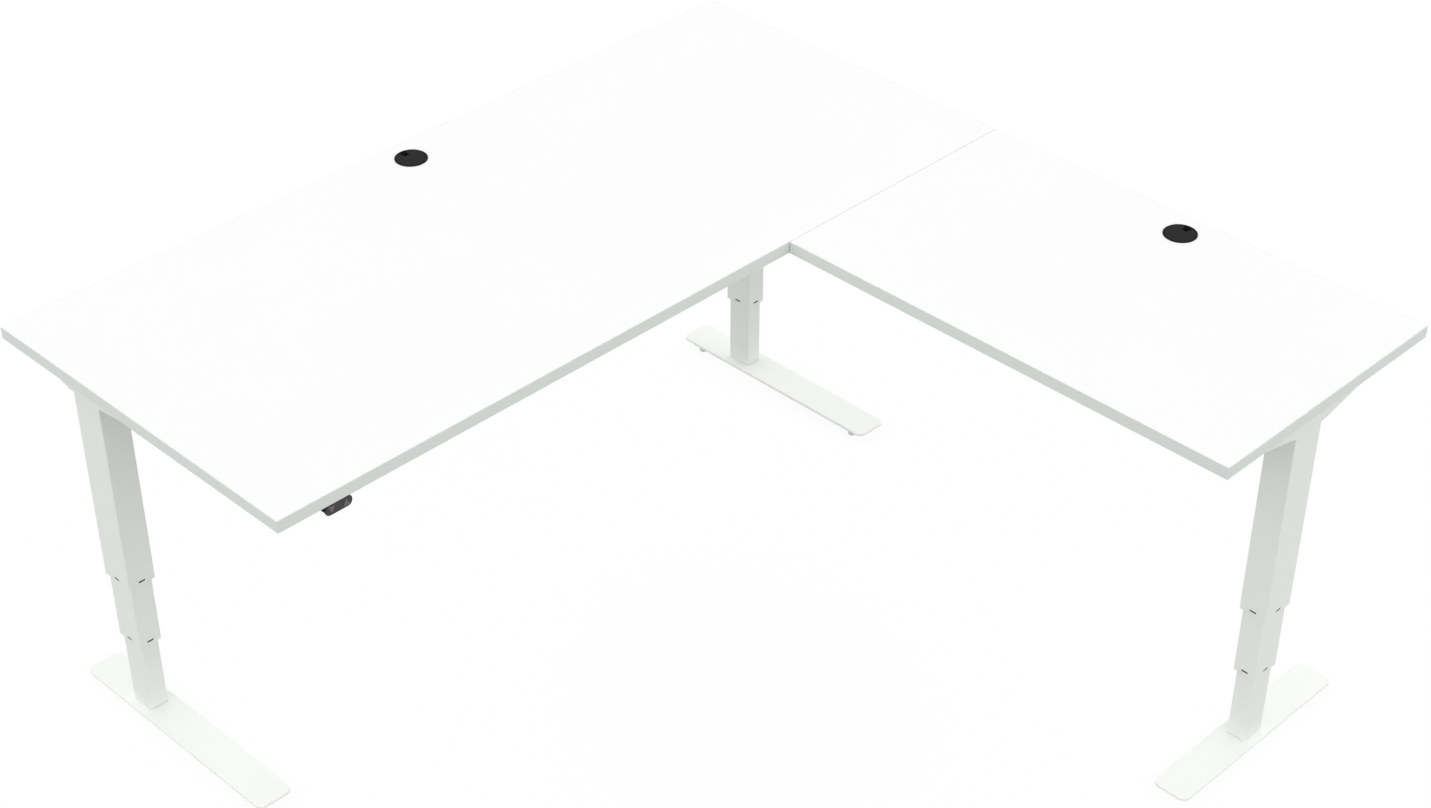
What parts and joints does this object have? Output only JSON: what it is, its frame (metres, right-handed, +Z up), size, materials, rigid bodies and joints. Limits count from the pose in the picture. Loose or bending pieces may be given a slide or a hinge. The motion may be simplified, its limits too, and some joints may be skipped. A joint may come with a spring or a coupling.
{
  "type": "height adjustable corner desk",
  "caption": "L-shaped sit-stand desk: a long top and a side top on telescopic electric columns, each on a flat foot plate, with round cable grommets and a small handset.",
  "frame": {"origin": "on the floor, under the middle of the rectangle round both tops", "axes": "+X to the right along the main top, +Y to the main top's rear edge, +Z up"},
  "size_m": [1.8, 1.8, 0.8376],
  "materials": {
    "white_laminate": "satin",
    "white_edging": "satin",
    "white_powder_coat": "satin",
    "black_plastic": "matte",
    "handset_plastic": "satin",
    "button_plastic": "matte",
    "black_glide_plastic": "satin",
    "leveller_plastic": "matte",
    "zinc_steel": "brushed",
    "screw_steel": "polished",
    "gear_case": "cast",
    "nut_bronze": "machined",
    "motor_coat": "semi-gloss",
    "black_coat": "matte",
    "circuit_board": "satin"
  },
  "bodies": {
    "base": {"left_foot_plate": "white_powder_coat", "left_inner_tube": "white_powder_coat", "corner_foot_plate": "white_powder_coat", "corner_inner_tube": "white_powder_coat", "extension_foot_plate": "white_powder_coat", "extension_inner_tube": "white_powder_coat", "foot_stiffeners": "white_powder_coat", "inner_plugs": "black_glide_plastic", "lower_nuts": "nut_bronze", "tube_base_blocks": "black_coat", "foot_screws": "zinc_steel"},
    "left_middle": {"left_middle_tube": "white_powder_coat", "left_middle_glides": "black_glide_plastic"},
    "left_hollow_screw": {"left_hollow_screw": "screw_steel"},
    "left_drive_screw": {"left_drive_screw": "screw_steel"},
    "corner_middle": {"corner_middle_tube": "white_powder_coat", "corner_middle_glides": "black_glide_plastic"},
    "corner_hollow_screw": {"corner_hollow_screw": "screw_steel"},
    "corner_drive_screw": {"corner_drive_screw": "screw_steel"},
    "extension_middle": {"extension_middle_tube": "white_powder_coat", "extension_middle_glides": "black_glide_plastic"},
    "extension_hollow_screw": {"extension_hollow_screw": "screw_steel"},
    "extension_drive_screw": {"extension_drive_screw": "screw_steel"},
    "top": {"left_outer_tube": "white_powder_coat", "left_support_arm": "white_powder_coat", "left_motor": "motor_coat", "corner_outer_tube": "white_powder_coat", "corner_support_arm": "white_powder_coat", "corner_motor": "motor_coat", "extension_outer_tube": "white_powder_coat", "extension_support_arm": "white_powder_coat", "extension_motor": "motor_coat", "outer_bushes": "black_glide_plastic", "gear_housings": "gear_case", "main_rails": "white_powder_coat", "extension_rails": "white_powder_coat", "rail_end_plates": "white_powder_coat", "frame_bolts": "zinc_steel", "main_top": "white_laminate", "extension_top": "white_laminate", "main_edging": "white_edging", "extension_edging": "white_edging", "joining_plates": "zinc_steel", "top_screws": "zinc_steel", "main_grommet_ring": "black_plastic", "extension_grommet_ring": "black_plastic", "handset_housing": "handset_plastic", "handset_back_cover": "handset_plastic", "handset_board": "circuit_board", "control_box": "black_plastic"},
    "main_grommet_cap": {"main_grommet_cap": "black_plastic"},
    "extension_grommet_cap": {"extension_grommet_cap": "black_plastic"},
    "up_button": {"up_button": "button_plastic"},
    "down_button": {"down_button": "button_plastic"},
    "left_front_leveller": {"left_front_leveller": "leveller_plastic"},
    "left_rear_leveller": {"left_rear_leveller": "leveller_plastic"},
    "corner_front_leveller": {"corner_front_leveller": "leveller_plastic"},
    "corner_rear_leveller": {"corner_rear_leveller": "leveller_plastic"},
    "extension_left_leveller": {"extension_left_leveller": "leveller_plastic"},
    "extension_right_leveller": {"extension_right_leveller": "leveller_plastic"}
  },
  "joints": [
    {"name": "desk_lift", "type": "slide", "parent": "base", "child": "top", "axis": [0, 0, 1], "range_m": [-0.276, 0.374]},
    {"name": "left_middle_slide", "type": "slide", "parent": "base", "child": "left_middle", "axis": [0, 0, 1], "range_m": [-0.138, 0.187]},
    {"name": "left_drive_screw_turn", "type": "hinge", "parent": "top", "child": "left_drive_screw", "pos_m": [-0.8275, 0.72, 0.45], "axis": [0, 0, 1], "range_deg": [-4978, 6742]},
    {"name": "left_hollow_screw_turn", "type": "hinge", "parent": "left_middle", "child": "left_hollow_screw", "pos_m": [-0.8275, 0.72, 0.45], "axis": [0, 0, 1], "range_deg": [-4978, 6742]},
    {"name": "corner_middle_slide", "type": "slide", "parent": "base", "child": "corner_middle", "axis": [0, 0, 1], "range_m": [-0.138, 0.187]},
    {"name": "corner_drive_screw_turn", "type": "hinge", "parent": "top", "child": "corner_drive_screw", "pos_m": [0.8275, 0.72, 0.45], "axis": [0, 0, 1], "range_deg": [-4978, 6742]},
    {"name": "corner_hollow_screw_turn", "type": "hinge", "parent": "corner_middle", "child": "corner_hollow_screw", "pos_m": [0.8275, 0.72, 0.45], "axis": [0, 0, 1], "range_deg": [-4978, 6742]},
    {"name": "extension_middle_slide", "type": "slide", "parent": "base", "child": "extension_middle", "axis": [0, 0, 1], "range_m": [-0.138, 0.187]},
    {"name": "extension_drive_screw_turn", "type": "hinge", "parent": "top", "child": "extension_drive_screw", "pos_m": [0.6, -0.838, 0.45], "axis": [0, 0, 1], "range_deg": [-4978, 6742]},
    {"name": "extension_hollow_screw_turn", "type": "hinge", "parent": "extension_middle", "child": "extension_hollow_screw", "pos_m": [0.6, -0.838, 0.45], "axis": [0, 0, 1], "range_deg": [-4978, 6742]},
    {"name": "main_cap_turn", "type": "hinge", "parent": "top", "child": "main_grommet_cap", "pos_m": [0, 0.838, 0.837], "axis": [0, 0, 1], "continuous": true},
    {"name": "extension_cap_turn", "type": "hinge", "parent": "top", "child": "extension_grommet_cap", "pos_m": [0.838, -0.4, 0.837], "axis": [0, 0, 1], "continuous": true},
    {"name": "up_button_press", "type": "slide", "parent": "top", "child": "up_button", "axis": [0, 1, 0], "range_m": [0, 0.0012], "stiffness_N_per_m": 800},
    {"name": "down_button_press", "type": "slide", "parent": "top", "child": "down_button", "axis": [0, 1, 0], "range_m": [0, 0.0012], "stiffness_N_per_m": 800},
    {"name": "left_front_leveller_turn_out", "type": "slide", "parent": "base", "child": "left_front_leveller", "axis": [0, 0, 1], "range_m": [-0.006, 0]},
    {"name": "left_rear_leveller_turn_out", "type": "slide", "parent": "base", "child": "left_rear_leveller", "axis": [0, 0, 1], "range_m": [-0.006, 0]},
    {"name": "corner_front_leveller_turn_out", "type": "slide", "parent": "base", "child": "corner_front_leveller", "axis": [0, 0, 1], "range_m": [-0.006, 0]},
    {"name": "corner_rear_leveller_turn_out", "type": "slide", "parent": "base", "child": "corner_rear_leveller", "axis": [0, 0, 1], "range_m": [-0.006, 0]},
    {"name": "extension_left_leveller_turn_out", "type": "slide", "parent": "base", "child": "extension_left_leveller", "axis": [0, 0, 1], "range_m": [-0.006, 0]},
    {"name": "extension_right_leveller_turn_out", "type": "slide", "parent": "base", "child": "extension_right_leveller", "axis": [0, 0, 1], "range_m": [-0.006, 0]}
  ],
  "couplings": [
    {"joint": "left_middle_slide", "follows": "desk_lift", "ratio": 0.5},
    {"joint": "left_drive_screw_turn", "follows": "desk_lift", "rad_per_m": 314.16},
    {"joint": "left_hollow_screw_turn", "follows": "desk_lift", "rad_per_m": 314.16},
    {"joint": "corner_middle_slide", "follows": "desk_lift", "ratio": 0.5},
    {"joint": "corner_drive_screw_turn", "follows": "desk_lift", "rad_per_m": 314.16},
    {"joint": "corner_hollow_screw_turn", "follows": "desk_lift", "rad_per_m": 314.16},
    {"joint": "extension_middle_slide", "follows": "desk_lift", "ratio": 0.5},
    {"joint": "extension_drive_screw_turn", "follows": "desk_lift", "rad_per_m": 314.16},
    {"joint": "extension_hollow_screw_turn", "follows": "desk_lift", "rad_per_m": 314.16}
  ]
}
